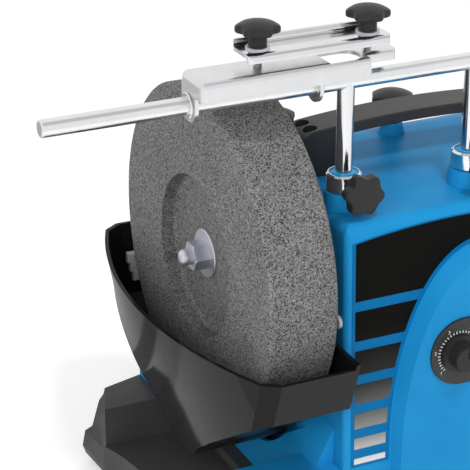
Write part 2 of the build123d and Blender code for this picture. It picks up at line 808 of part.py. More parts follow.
# Control panel with the speed dial and the rocker switch
def switch_opening(y0, y1, grow):
    half_x = switch_width / 2 - switch_bezel + grow
    half_z = switch_height / 2 - switch_bezel + grow
    return block(switch_x - half_x, switch_x + half_x, y0, y1, panel_z - half_z, panel_z + half_z)


def make_controls():
    face = Plane.XZ.offset(bulge_front) * Pos(house_mid_x, panel_z) * SlotOverall(panel_length, panel_height)
    panel = extrude(face, panel_thickness)
    panel = fillet(panel.faces().sort_by(Axis.Y)[0].edges(), panel_thickness * 0.4)
    panel = panel - switch_opening(panel_front_y - 1, -bulge_front + 1, seat_gap)
    shaft_hole = pot_shaft_diameter / 2 + 1
    pieces["control_panel"] = panel - rod_y(panel_front_y - 1, -bulge_front + 1, shaft_hole, dial_x, panel_z)

    wall_y = -bulge_front + housing_wall
    board_y = wall_y + pot_body_length
    pot = rod_y(wall_y, board_y, pot_body_diameter / 2, dial_x, panel_z)
    shaft_tip_y = panel_front_y - face_gap - dial_height * 0.7
    pot = pot + rod_y(shaft_tip_y, board_y, pot_shaft_diameter / 2, dial_x, panel_z)
    pieces["speed_sensor"] = pot
    x0 = dial_x - board_length / 3
    z0 = panel_z - board_height / 2
    board_x1 = switch_x - switch_width / 2
    pieces["speed_board"] = block(x0, board_x1, board_y, board_y + board_thickness, z0, z0 + board_height)

    dial_y = panel_front_y - face_gap
    plane = Plane(origin=(dial_x, dial_y, panel_z), x_dir=(1, 0, 0), z_dir=(0, -1, 0))
    skirt = extrude(plane * Circle(dial_diameter / 2), dial_skirt_height)
    grip_radius = dial_diameter / 2 - 4
    grip = extrude(plane.offset(dial_skirt_height) * Circle(grip_radius), dial_height - dial_skirt_height)
    grip = fillet(grip.faces().sort_by(Axis.Y)[0].edges(), 1.5)
    grooves = Sketch() + PolarLocations(grip_radius + 0.5, dial_ridges) * Circle(1.1)
    dial = skirt + grip - extrude(plane.offset(dial_skirt_height) * grooves, dial_height)
    notch = plane.offset(dial_height - 0.8) * Pos(0, grip_radius / 2) * Rectangle(1.6, grip_radius * 0.8)
    dial = dial - extrude(notch, 2)
    bore = rod_y(shaft_tip_y - face_gap, dial_y + 1, pot_shaft_diameter / 2 + running_gap, dial_x, panel_z)
    pieces["speed_dial"] = dial - bore

    outer_y = panel_front_y - switch_bezel_thickness
    half_x = switch_width / 2
    half_z = switch_height / 2
    frame = block(
        switch_x - half_x, switch_x + half_x, outer_y, panel_front_y, panel_z - half_z, panel_z + half_z
    )
    frame = fillet(frame.edges().filter_by(Axis.Y), 2)
    back_y = panel_front_y + switch_body_depth
    frame = frame + switch_opening(panel_front_y - 1, back_y, 0)
    well = switch_opening(outer_y - 1, back_y - 2, -switch_well_wall)
    half_wide = half_x - switch_bezel - switch_well_wall - face_gap
    pin_reach = half_wide + rocker_pin_length
    pivot_y = panel_front_y
    socket_reach = pin_reach + face_gap
    socket = rocker_pin_diameter / 2 + running_gap
    well = well + rod_x(switch_x - socket_reach, switch_x + socket_reach, socket, pivot_y, panel_z)
    pieces["switch_frame"] = frame - well

    half_long = half_z - switch_bezel - switch_well_wall - face_gap
    end_front = -rocker_thickness * 0.62
    outline = Polyline(
        (-half_long + 0.5, end_front - 1.2),
        (0, -rocker_thickness * 0.42),
        (half_long - 0.5, end_front - 1.2),
        (half_long - 1.4, rocker_thickness * 0.3),
        (-half_long + 1.4, rocker_thickness * 0.3),
        close=True,
    )
    profile = Plane(origin=(switch_x - half_wide, pivot_y, panel_z), x_dir=(0, 0, 1), z_dir=(-1, 0, 0))
    rocker = extrude(profile * make_face(outline), -2 * half_wide)
    pin = rocker_pin_diameter / 2
    rocker = rocker + rod_x(switch_x - pin_reach, switch_x + pin_reach, pin, pivot_y, panel_z)
    pivot = Axis((switch_x, pivot_y, panel_z), (1, 0, 0))
    pieces["switch_rocker"] = rocker.rotate(pivot, rocker_angle)


# Support bar, posts, sleeves and clamp knobs
def make_support():
    bar = rod_x(stone_face_x - bar_overhang, right_post_x + bar_tail, bar_radius, bar_y, bar_z)
    pieces["support_bar"] = chamfer(bar.edges().filter_by(GeomType.CIRCLE), 1.0)
    sides = (("left", left_post_x), ("right", right_post_x))
    for side, x in sides:
        post = rod_z(axis_z - post_foot_drop, bar_z, bar_radius, x, bar_y)
        post = chamfer(edges_at_z(post, axis_z - post_foot_drop), 1.0)
        cope = rod_x(x - 2 * bar_diameter, x + 2 * bar_diameter, bar_radius + running_gap, bar_y, bar_z)
        pieces[f"support_{side}_post"] = post - cope

        sleeve = rod_z(axis_z - sleeve_foot_drop, collar_z0 + 1, sleeve_radius, x, bar_y)
        collar = rod_z(collar_z0, collar_z1, collar_radius, x, bar_y)
        collar = chamfer(collar.edges().filter_by(GeomType.CIRCLE), 1.2)
        groove_z = collar_z1 - collar_groove_depth
        groove = rod_z(groove_z, collar_z1 + 1, collar_radius - collar_groove_margin, x, bar_y)
        groove = groove - rod_z(groove_z, collar_z1 + 1, bar_radius + collar_groove_margin, x, bar_y)
        collar = collar - groove
        sleeve = sleeve + collar
        bore = bar_radius + running_gap
        sleeve = sleeve - rod_z(axis_z - sleeve_foot_drop - 1, collar_z1 + 1, bore, x, bar_y)
        stud_z = (collar_z0 + collar_z1) / 2
        stud_bore = clamp_stud_diameter / 2 + running_gap
        pieces[f"{side}_post_sleeve"] = sleeve - rod_y(bar_y - 2 * collar_radius, bar_y, stud_bore, x, stud_z)

        seat_y = bar_y - collar_radius - face_gap
        stud_length = collar_radius - bar_radius
        head = Rot(0, 0, clamp_knob_turn) * star_head(clamp_knob_diameter, clamp_knob_height)
        knob = clamp_knob(head, clamp_stem_height, stud_length)
        turn = Plane(origin=(x, seat_y, stud_z), x_dir=(1, 0, 0), z_dir=(0, -1, 0))
        pieces[f"{side}_clamp_knob"] = turn.location * knob

        rear_y1 = housing_rear + rear_collar_length
        sleeve = rod_y(rear_sleeve_inner_y, rear_y1, sleeve_radius, x, rear_sleeve_z)
        collar = rod_y(housing_rear, rear_y1, collar_radius, x, rear_sleeve_z)
        collar = chamfer(collar.edges().filter_by(GeomType.CIRCLE), 1.2)
        sleeve = sleeve + collar
        sleeve = sleeve - rod_y(rear_sleeve_inner_y - 1, rear_y1 + 1, bore, x, rear_sleeve_z)
        stud_hole = rod_z(rear_sleeve_z, rear_sleeve_z + 2 * sleeve_radius, stud_bore, x, rear_knob_y)
        pieces[f"rear_{side}_sleeve"] = sleeve - stud_hole

        seat_z = house_z1 + rear_boss_rise + face_gap
        stud_length = seat_z - rear_sleeve_z - bar_radius - face_gap
        head = star_head(rear_knob_diameter, rear_knob_height, rear_knob_crown)
        knob = clamp_knob(head, rear_stem_height, stud_length)
        pieces[f"rear_{side}_knob"] = Pos(x, rear_knob_y, seat_z) * knob


# Square-edge jig
def eye_plate(x0, x1, top_z):
    # Hanging eye round the bar, with room for its bush.
    radius = bar_radius + eye_wall
    eye = rod_x(x0, x1, radius, bar_y, bar_z) + block(x0, x1, bar_y - radius, bar_y + radius, bar_z, top_z)
    hole = bar_radius + bush_wall + running_gap
    return eye - rod_x(x0 - 1, x1 + 1, hole, bar_y, bar_z)


def make_jig():
    x1 = jig_x0 + jig_channel_length
    z0 = jig_z1 - jig_depth
    outer = block(jig_x0, x1, jig_y0, jig_y1, z0, jig_z1)
    folds = [
        edge
        for edge in outer.edges()
        if abs(edge.center().Z - jig_z1) < 0.01
        and (abs(edge.center().X - jig_x0) < 0.01 or abs(edge.center().Y - jig_y0) < 0.01)
    ]
    corner = [
        edge
        for edge in outer.edges().filter_by(Axis.Z)
        if abs(edge.center().X - jig_x0) < 0.01 and abs(edge.center().Y - jig_y0) < 0.01
    ]
    outer = fillet(folds + corner, jig_fold)
    inner = block(jig_x0 + jig_sheet, x1 + 1, jig_y0 + jig_sheet, jig_y1 + 1, z0 - 1, jig_z1 - jig_sheet)
    plate = outer - inner
    lip_end = plate.edges().filter_by(Axis.Y).sort_by(Axis.Z)
    lip_end = [edge for edge in lip_end if abs(edge.center().X - x1) < 0.01 and edge.center().Z < z0 + 0.01]
    plate = fillet(lip_end, jig_fold)
    tail_y0 = jig_y1 - tail_width
    tail = block(x1 - 1, x1 + tail_length, tail_y0, jig_y1, jig_z1 - tail_depth, jig_z1)
    tail_edges = [
        edge
        for edge in tail.edges()
        if abs(edge.center().Z - jig_z1) < 0.01 and abs(edge.center().Y - tail_y0) < 0.01
    ]
    tail_edges += [edge for edge in tail.edges().filter_by(Axis.Z) if edge.center().X > x1]
    tail = fillet(tail_edges, jig_fold)
    tail = tail - block(
        x1 - 2, x1 + tail_length - jig_sheet, tail_y0 + jig_sheet, jig_y1 + 1, jig_z1 - tail_depth - 1,
        jig_z1 - jig_sheet,
    )
    plate = plate + tail
    eye_x1 = jig_x0 + eye_spacing + jig_sheet
    window_x1 = eye_x1 + window_length
    window = block(
        eye_x1, window_x1, jig_y0 + jig_sheet, jig_y1 - window_rear_strip, jig_z1 - jig_sheet - 1, jig_z1 + 1
    )
    plate = plate - fillet(window.edges().filter_by(Axis.Z).group_by(Axis.X)[-1], window_corner)
    plate = plate + eye_plate(jig_x0, jig_x0 + jig_sheet, jig_z1 - jig_depth / 2)
    plate = plate + eye_plate(eye_x1 - jig_sheet, eye_x1, jig_z1 - jig_sheet / 2)
    for x in stud_xs:
        plate = plate - rod_z(jig_z1 - jig_depth, jig_z1 + 1, stud_diameter / 2 + running_gap, x, stud_y)
    pieces["jig_base_plate"] = plate

    bush_bore = bar_radius + running_gap
    for side, seat, out in (("left", jig_x0, -1), ("right", eye_x1, 1)):
        rim_in = seat + out * face_gap
        rim_out = rim_in + out * bush_rim_thickness
        inner_end = seat - out * (jig_sheet + face_gap)
        rim = rod_x(min(rim_in, rim_out), max(rim_in, rim_out), bar_radius + bush_rim, bar_y, bar_z)
        rim = chamfer(rim.edges().filter_by(GeomType.CIRCLE), 0.5)
        low, high = min(rim_in, inner_end), max(rim_in, inner_end)
        bush = rim + rod_x(low, high, bar_radius + bush_wall, bar_y, bar_z)
        pieces[f"jig_{side}_bush"] = bush - rod_x(seat - 20, seat + 20, bush_bore, bar_y, bar_z)

    stud_z1 = jig_knob_z + stud_in_knob
    studs = [rod_z(jig_z1 - jig_sheet, stud_z1, stud_diameter / 2, x, stud_y) for x in stud_xs]
    head_z1 = jig_z1 - jig_sheet
    heads = [rod_z(head_z1 - 2, head_z1, stud_diameter * 0.75, x, stud_y) for x in stud_xs]
    pieces["jig_studs"] = Compound(children=[(stud + head).solids()[0] for stud, head in zip(studs, heads)])

    front = bar_y - stud_back - clamp_width / 2
    rear = front + clamp_width
    mid = jig_sheet / 2
    path = FilletPolyline(
        (front + mid, clamp_z0),
        (front + mid, clamp_top_z - mid),
        (rear - mid, clamp_top_z - mid),
        (rear - mid, clamp_top_z + clamp_rear_height),
        radius=clamp_bend,
    )
    section = Plane.YZ.offset(jig_x0 + clamp_left) * trace(path, jig_sheet)
    clamp = extrude(section, clamp_length)
    plan = Pos(jig_x0 + clamp_left + clamp_length / 2, (front + rear) / 2, clamp_z0)
    plan = plan * RectangleRounded(clamp_length, clamp_width, clamp_corner)
    plan = extrude(plan, 2 * clamp_rear_height + clamp_front_height)
    clamp = clamp & plan
    for x in stud_xs:
        clamp = clamp - rod_z(clamp_z0, clamp_top_z + 1, stud_diameter / 2 + running_gap, x, stud_y)
    pieces["jig_clamp_plate"] = clamp

    for side, x in zip(("left", "right"), stud_xs):
        washer = rod_z(clamp_top_z, jig_knob_z, jig_washer_diameter / 2, x, stud_y)
        washer = chamfer(edges_at_z(washer, jig_knob_z), 0.4)
        washer = washer - rod_z(clamp_top_z - 1, jig_knob_z + 1, stud_diameter / 2 + seat_gap, x, stud_y)
        pieces[f"jig_{side}_washer"] = washer
        head = Rot(0, 0, jig_knob_turn) * star_head(jig_knob_diameter, jig_knob_height)
        knob = Pos(0, 0, jig_stem_height) * head
        stem = Cylinder(clamp_stem_diameter / 2, jig_stem_height + 0.4)
        knob = knob + Pos(0, 0, jig_stem_height / 2) * stem
        knob = knob - Cylinder(stud_diameter / 2 + running_gap, 2 * jig_knob_bore_depth)
        pieces[f"jig_{side}_knob"] = Pos(x, stud_y, jig_knob_z + face_gap) * knob


# Carrying handle
def make_handle():
    x0 = house_x0 + handle_inset
    x1 = house_x1 - handle_inset
    top = house_z1 + handle_rise
    side_top = top - handle_sag
    arch = ThreePointArc((x0, side_top), ((x0 + x1) / 2, top), (x1, side_top))
    legs = Polyline((x1, side_top), (x1, house_z1), (x0, house_z1), (x0, side_top))
    y1 = handle_centre_y + handle_depth / 2
    plane = Plane.XZ.offset(-y1)
    body = extrude(plane * make_face([arch, legs]), handle_depth)
    corners = [edge for edge in body.edges().filter_by(Axis.Y) if edge.center().Z > house_z1 + 1]
    body = fillet(corners, handle_corner)
    gap_x0 = x0 + handle_leg
    gap_x1 = x1 - handle_leg
    gap_top = top - handle_strap
    gap_side = gap_top - handle_sag / 2
    inner_arch = ThreePointArc((gap_x0, gap_side), ((x0 + x1) / 2, gap_top), (gap_x1, gap_side))
    inner_legs = Polyline(
        (gap_x1, gap_side), (gap_x1, house_z1 - 1), (gap_x0, house_z1 - 1), (gap_x0, gap_side)
    )
    gap = extrude(Plane.XZ.offset(-y1 - 1) * make_face([inner_arch, inner_legs]), handle_depth + 2)
    gap_corners = [edge for edge in gap.edges().filter_by(Axis.Y) if edge.center().Z > house_z1 + 1]
    body = body - fillet(gap_corners, handle_inner_corner)
    sides = [face for face in body.faces() if abs(face.normal_at().Y) > 0.99]
    rims = [edge for face in sides for edge in face.edges() if edge.center().Z > house_z1 + 0.01]
    body = fillet(rims, handle_edge)
    for x, y, z in handle_screw_places():
        body = body - rod_z(z, top + 1, handle_screw_head / 2 + seat_gap, x, y)
        body = body - rod_z(house_z1 - 1, z + 1, handle_screw_diameter / 2 + seat_gap, x, y)
    pieces["carry_handle"] = body
    length = handle_screw_seat + handle_screw_bite
    pieces["handle_screws"] = screws(
        handle_screw_places(), (0, 0, 1), handle_screw_diameter, length, handle_screw_head,
        handle_screw_head_height,
    )


# Water trough, its rail and the magnet that gathers swarf
def make_trough():
    # The wall beside the housing stands higher than the rest of the rim.
    wall_x = trough_x1 - trough_wall
    hull = trough_body(0, trough_wall_z)
    hull = hull - block(stone_face_x - 3 * trough_bow, wall_x, -2 * trough_end, 2 * trough_end, rim_z, axis_z)
    cavity = trough_body(-trough_wall, trough_wall_z + 1)
    lip = block(
        trough_x1 - 1, trough_x1 + trough_lip, -rail_length / 2, rail_length / 2, rim_z - trough_lip_height,
        rim_z,
    )
    pieces["water_trough"] = hull + lip - cavity
    rail_z1 = rim_z - trough_lip_height - seat_gap
    rail = block(
        trough_x1 + face_gap, house_x0, -rail_length / 2, rail_length / 2, rail_z1 - rail_height, rail_z1
    )
    pieces["trough_rail"] = rail
    width, thickness, height = magnet_size
    z1 = axis_z - magnet_drop
    back_y = trough_shift + trough_end - trough_wall - (rim_z - z1 + height) * trough_end_lean - seat_gap
    x0 = stone_face_x + magnet_x
    magnet = block(x0, x0 + width, back_y - thickness, back_y, z1 - height / 3, z1)
    magnet = magnet + block(x0 + width / 4, x0 + width, back_y - thickness, back_y, z1 - height * 2 / 3, z1)
    magnet = magnet + block(x0 + width / 2, x0 + width, back_y - thickness, back_y, z1 - height, z1)
    magnet = fillet(magnet.faces().sort_by(Axis.Y)[0].edges(), 0.8)
    hole_x = x0 + width * 0.65
    hole = rod_y(back_y - thickness - 1, back_y - thickness / 2, width / 6, hole_x, z1 - height / 6)
    pieces["swarf_magnet"] = magnet - hole - hole.moved(Pos(0, 0, -height / 3))


# Base with stepped legs, and the feet under it
def leg_step(x_in, x_out, high, low):
    # One step of a rear leg; its inner side and the end beside the housing stay upright.
    way = 1 if x_out > x_in else -1
    far = leg_inner_y + leg_depth

    def level(z, spread):
        corners = Polyline(
            (x_in, leg_inner_y),
            (x_out - way * 1.5, leg_inner_y),
            (x_out - way * (leg_corner - spread), leg_inner_y + leg_shoulder + spread * 0.4),
            (x_in + (x_out - x_in) * 0.4, far + spread * 0.8),
            (x_in, far + 2 + spread * 0.8),
            close=True,
        )
        return Pos(0, 0, z) * make_face(corners)

    return loft([level(*high), level(*low)], ruled=True)


def make_base():
    left_in = house_x0 - skirt_reach - plinth_chamfer
    left_out = stone_face_x - pan_left
    right_in = house_x1 + plinth_chamfer
    right_out = house_x1 + leg_right_reach
    plinth_y = housing_front_foot + plinth_margin
    plinth = block(
        house_x0 - plinth_reach, house_x1 + plinth_margin, -plinth_y, plinth_y, base_floor_z, house_z0
    )
    plinth = chamfer(edges_at_z(plinth, house_z0), plinth_chamfer)
    bow = ThreePointArc((left_out, leg_inner_y), (left_out + pan_waist, 0), (left_out, -leg_inner_y))
    rest = Polyline(
        (left_out, -leg_inner_y), (house_x0, -leg_inner_y), (house_x0, leg_inner_y), (left_out, leg_inner_y)
    )
    pan = extrude(Pos(0, 0, base_floor_z) * make_face([bow, rest]), pan_top_z - base_floor_z)
    base = plinth + pan
    for x_in, x_out in ((left_in, left_out), (right_in, right_out)):
        for high, low in zip(leg_levels, leg_levels[1:]):
            step = leg_step(x_in, x_out, high, low)
            base = base + step + mirror(step, about=Plane.XZ)
    pocket_y = leg_inner_y - base_wall
    base = base - block(
        house_x0 - plinth_reach, house_x1 + plinth_margin - base_wall, -pocket_y, pocket_y, base_floor_z - 1,
        pan_top_z - base_wall,
    )
    foot_seat_z = base_floor_z + foot_bite + seat_gap
    for x, y in foot_places():
        base = base - rod_z(base_floor_z - 1, foot_seat_z, foot_diameter / 2 + seat_gap, x, y)
    screw_hole = base_screw_diameter / 2 + seat_gap
    for x, y, z in lug_screw_places():
        base = base - rod_z(lug_z0 - base_screw_bite - 1, lug_z0 + 1, screw_hole, x, y)
    pieces["base_frame"] = base
    feet = []
    for x, y in foot_places():
        foot = rod_z(0, base_floor_z + foot_bite, foot_diameter / 2, x, y)
        feet.append(chamfer(edges_at_z(foot, 0), 1.5).solids()[0])
    pieces["rubber_feet"] = Compound(children=feet)


def foot_places():
    inset = foot_diameter
    y = leg_inner_y + foot_diameter
    xs = (stone_face_x - pan_left + inset, house_x1 + leg_right_reach - inset)
    return [(x, side * y) for x in xs for side in (-1, 1)]


# Chassis, bearings, motor and drive
def make_drive():
    floor = block(
        upright_left_x, upright_right_x + upright_thickness, -chassis_front, chassis_rear, house_z0,
        house_z0 + upright_thickness,
    )
    chassis = floor
    cup_radius = bearing_diameter / 2 + bearing_cup_wall
    for x in (upright_left_x, upright_right_x):
        upright = block(
            x, x + upright_thickness, -upright_half_width, upright_half_width, house_z0, axis_z + cup_radius
        )
        mid = x + upright_thickness / 2
        cup = rod_x(mid - bearing_width / 2, mid + bearing_width / 2, cup_radius, 0, axis_z)
        seat = rod_x(mid - bearing_width, mid + bearing_width, bearing_diameter / 2 + running_gap, 0, axis_z)
        chassis = chassis + upright + cup - seat
    pieces["chassis"] = chassis
    bearings = []
    for x in (upright_left_x, upright_right_x):
        mid = x + upright_thickness / 2
        bearing = ring_x(
            mid - bearing_width / 2, mid + bearing_width / 2, bearing_diameter / 2, shaft_radius + running_gap
        )
        bearings.append(bearing.solid())
    pieces["shaft_bearings"] = Compound(children=bearings)

    floor_top = house_z0 + upright_thickness
    half = motor_diameter / 2
    bracket_y1 = motor_y + half - bracket_trim
    bracket = block(
        bracket_x0, bracket_x0 + bracket_thickness, motor_y - half, bracket_y1, floor_top,
        motor_z + motor_nose,
    )
    nose = motor_nose / 2
    bracket = bracket - rod_x(bracket_x0 - 1, bracket_x0 + 10, nose + seat_gap, motor_y, motor_z)
    foot = block(
        bracket_x0 - bracket_foot, bracket_x0 + bracket_thickness, motor_y - half, bracket_y1, floor_top,
        floor_top + bracket_thickness,
    )
    pieces["motor_bracket"] = bracket + foot
    motor_x0 = bracket_x0 - motor_length
    bore = motor_shaft_diameter / 2 + running_gap
    can = rod_x(motor_x0 + motor_cap_length, bracket_x0, half, motor_y, motor_z)
    can = can + rod_x(bracket_x0 - 1, bracket_x0 + bracket_thickness, nose, motor_y, motor_z)
    can = can - rod_x(motor_x0 - 1, bracket_x0 + 20, bore, motor_y, motor_z)
    cap = rod_x(motor_x0, motor_x0 + motor_cap_length, half, motor_y, motor_z)
    cap = chamfer(edges_at_x(cap, motor_x0), 5)
    cap = cap - rod_x(motor_x0 + 3, bracket_x0, bore, motor_y, motor_z)
    pieces["motor_body"] = Compound(children=[can.solid(), cap.solid()])
    roller_x0 = drive_x0 + (drive_wheel_width - roller_width) / 2
    roller_x1 = roller_x0 + roller_width
    pieces["motor_shaft"] = rod_x(
        motor_x0 + 3 + face_gap, roller_x1, motor_shaft_diameter / 2, motor_y, motor_z
    )
    roller = rod_x(roller_x0, roller_x1, roller_diameter / 2, motor_y, motor_z)
    pieces["drive_roller"] = roller - rod_x(roller_x0 - 1, roller_x1 + 1, bore, motor_y, motor_z)


make_grinder()
make_housing()
make_skirt()
make_bosses()
make_rear_cover()
make_label()
make_controls()
make_support()
make_jig()
make_handle()
make_trough()
make_base()
make_drive()

os.makedirs("parts", exist_ok=True)
# The origin is under the middle of the whole machine, which the trough's ends set in Y.
for name, piece in pieces.items():
    export_step(Pos(0, -trough_shift, 0) * piece, f"parts/{name}.step")
    print(name, len(piece.solids()), round(piece.volume))
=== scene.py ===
import math
import bpy
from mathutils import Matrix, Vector


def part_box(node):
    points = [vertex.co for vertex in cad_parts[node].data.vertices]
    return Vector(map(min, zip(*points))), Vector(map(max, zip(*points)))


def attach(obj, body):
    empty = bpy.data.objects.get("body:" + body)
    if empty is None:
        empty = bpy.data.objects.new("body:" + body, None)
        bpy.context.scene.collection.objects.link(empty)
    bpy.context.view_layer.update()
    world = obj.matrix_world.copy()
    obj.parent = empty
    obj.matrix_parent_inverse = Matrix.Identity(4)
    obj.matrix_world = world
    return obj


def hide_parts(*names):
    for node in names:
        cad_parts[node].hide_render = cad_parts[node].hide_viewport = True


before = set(bpy.data.objects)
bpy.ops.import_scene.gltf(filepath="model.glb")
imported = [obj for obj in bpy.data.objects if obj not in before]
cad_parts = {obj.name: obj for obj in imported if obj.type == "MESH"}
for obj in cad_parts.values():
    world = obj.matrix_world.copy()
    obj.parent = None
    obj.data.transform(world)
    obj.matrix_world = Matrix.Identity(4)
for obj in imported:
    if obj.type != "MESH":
        bpy.data.objects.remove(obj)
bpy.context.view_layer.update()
nodes = {name: bpy.data.objects[name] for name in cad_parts}
print("frame loaded:", len(nodes), "nodes")


# a shader socket that can be used in sums
class Wire:
    def __init__(self, finish, socket):
        self.finish = finish
        self.socket = socket

    def sum(self, operation, first, second):
        return self.finish.add("ShaderNodeMath", {"operation": operation}, {0: first, 1: second})

    def __add__(self, other):
        return self.sum("ADD", self, other)

    def __radd__(self, other):
        return self.sum("ADD", other, self)

    def __sub__(self, other):
        return self.sum("SUBTRACT", self, other)

    def __rsub__(self, other):
        return self.sum("SUBTRACT", other, self)

    def __mul__(self, other):
        return self.sum("MULTIPLY", self, other)

    def __rmul__(self, other):
        return self.sum("MULTIPLY", other, self)

    def __truediv__(self, other):
        return self.sum("DIVIDE", self, other)

    def __rtruediv__(self, other):
        return self.sum("DIVIDE", other, self)

    def __gt__(self, other):
        return self.sum("GREATER_THAN", self, other)

    def __lt__(self, other):
        return self.sum("LESS_THAN", self, other)

    def __abs__(self):
        return self.finish.add("ShaderNodeMath", {"operation": "ABSOLUTE"}, {0: self})


# one material, or the world; add() makes any node, sets it up and hands back an output
class Finish:
    def __init__(self, name, store="materials"):
        self.made = getattr(bpy.data, store).new(name)
        self.made.use_nodes = True
        self.tree = self.made.node_tree
        self.tree.nodes.clear()

    def add(self, kind, settings=None, sockets=None, output=0):
        node = self.tree.nodes.new(kind)
        for key, value in (settings or {}).items():
            if key == "stops":
                self.setStops(node.color_ramp, value)
            else:
                setattr(node, key, value)
        for key, value in (sockets or {}).items():
            if isinstance(value, Wire):
                self.tree.links.new(value.socket, node.inputs[key])
            else:
                node.inputs[key].default_value = value
        return Wire(self, node.outputs[output]) if node.outputs else None

    def setStops(self, ramp, stops):
        while len(ramp.elements) < len(stops):
            ramp.elements.new(0.5)               # set to its own place below
        for element, (place, colour) in zip(ramp.elements, stops):
            element.position = place
            element.color = colour

    def place(self):
        return self.add("ShaderNodeTexCoord", output="Object")

    def normal(self):
        return self.add("ShaderNodeNewGeometry", output="Normal")

    def axes(self, vector):
        split = self.add("ShaderNodeSeparateXYZ", None, {0: vector}).socket.node
        return [Wire(self, output) for output in split.outputs]

    def distance(self, first, second):
        squares = first * first + second * second
        return self.add("ShaderNodeMath", {"operation": "POWER"}, {0: squares, 1: 0.5})

    def noise(self, size, detail=2.0, rough=0.5):
        sockets = {"Vector": self.place(), "Scale": 1 / size, "Detail": detail, "Roughness": rough}
        return self.add("ShaderNodeTexNoise", None, sockets)

    def cells(self, size, feature="F1", output="Color"):
        sockets = {"Vector": self.place(), "Scale": 1 / size}
        return self.add("ShaderNodeTexVoronoi", {"feature": feature}, sockets, output)

    def ramp(self, value, stops):
        return self.add("ShaderNodeValToRGB", {"stops": stops}, {0: value})

    def span(self, value, low, high, start=0.0, end=1.0):
        sockets = {"Value": value, "From Min": low, "From Max": high, "To Min": start, "To Max": end}
        return self.add("ShaderNodeMapRange", {"clamp": True}, sockets)

    def stretch(self, noise):
        return self.span(noise, 0.3, 0.7)        # noise seldom leaves this middle part

    def sway(self, noise, share):
        return (noise - 0.5) * share             # noise swings about its middle

    def blend(self, share, first, second):       # a Mix node's colours go in at 6 and 7 and come out at 2
        return self.add("ShaderNodeMix", {"data_type": "RGBA"}, {0: share, 6: first, 7: second}, 2)

    def bump(self, height, depth, strength):
        return self.add("ShaderNodeBump", None, {"Height": height, "Distance": depth, "Strength": strength})

    def glow(self, strength):
        return self.add("ShaderNodeEmission", None, {"Color": (1, 1, 1, 1), "Strength": strength})

    def shown(self):                             # 1 where the camera sees it straight, mirrored or through
        path = self.add("ShaderNodeLightPath").socket.node
        rays = ("Is Camera Ray", "Is Glossy Ray", "Is Transmission Ray")
        seen, mirrored, through = [Wire(self, path.outputs[ray]) for ray in rays]
        return self.add("ShaderNodeClamp", None, {0: seen + mirrored + through})

    def surface(self, **sockets):
        named = {key.replace("_", " "): value for key, value in sockets.items()}
        shader = self.add("ShaderNodeBsdfPrincipled", None, named)
        self.add("ShaderNodeOutputMaterial", None, {"Surface": shader})
        return self.made


def srgb(red, green, blue):
    def linear(value):                           # the usual curve from screen values to light
        value = value / 255
        return value / 12.92 if value <= 0.04045 else ((value + 0.055) / 1.055) ** 2.4
    return (linear(red), linear(green), linear(blue), 1.0)


def grey(value):
    return srgb(value, value, value)


def middle(name):
    low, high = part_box(name)
    return [(a + b) / 2 for a, b in zip(low, high)]


def dress(material, *names):
    for name in names:
        mesh = nodes[name].data
        if not mesh.materials:
            mesh.materials.append(material)
        for k in range(len(mesh.materials)):
            mesh.materials[k] = material


def addPiece(name, data):
    piece = bpy.data.objects.new(name, data)
    bpy.context.scene.collection.objects.link(piece)
    return piece


# grinding stone: grey grit with dark pores; painted shade makes the rim, the recess and its wall a little
# darker
stone = {
    "grain": 0.00072, "pore": 0.00085, "patch": 0.03, "tone": 0.5,
    "greys": [(0.22, 20), (0.42, 108), (0.92, 162)],         # tone, and the grey it gives
    "grainShare": 0.6, "poreShare": 0.4, "patchShare": 0.12, "faceNormal": -0.9, "rimNormal": -0.5,
    "rimPaintedShade": 0.06, "rimSoft": 0.2, "recessRadius": 0.06, "recessLip": 0.0004, "recessPaintedShade": 0.03,
    "wallPaintedShade": 0.05, "wallSoft": 0.5, "rough": 0.9, "depth": 0.0007, "bump": 0.6,
}


def stoneFinish():
    f = Finish("stoneGrit")
    axisY, axisZ = middle("grinding_stone")[1:]
    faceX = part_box("grinding_stone")[0][0]
    x, y, z = f.axes(f.place())
    grain = f.add("ShaderNodeSeparateColor", None, {0: f.cells(stone["grain"])})
    pore = f.noise(stone["pore"], detail=3, rough=0.7)
    patch = f.noise(stone["patch"], detail=3)
    rim = f.span(f.axes(f.normal())[0], stone["faceNormal"], stone["rimNormal"])
    radius = f.distance(y - axisY, z - axisZ)
    recess = (radius < stone["recessRadius"]) * (x > faceX + stone["recessLip"])
    wall = recess * rim
    soft = 1 - wall * stone["wallSoft"]
    spread = f.sway(grain, stone["grainShare"]) + f.sway(f.stretch(pore), stone["poreShare"])
    tone = stone["tone"] + spread * soft * (1 - rim * stone["rimSoft"]) + f.sway(patch, stone["patchShare"])
    # painted shade: the rim, the recess and the recess wall are made darker, standing in for how light falls
    # on them
    tone = tone - rim * stone["rimPaintedShade"] - recess * stone["recessPaintedShade"] - wall * stone["wallPaintedShade"]
    stops = [(place, grey(value)) for place, value in stone["greys"]]
    height = (grain * stone["grainShare"] + pore * stone["poreShare"]) * soft
    bump = f.bump(height, stone["depth"], stone["bump"])
    return f.surface(Base_Color=f.ramp(tone, stops), Roughness=stone["rough"], Normal=bump)


dress(stoneFinish(), "grinding_stone")
print("stone done")

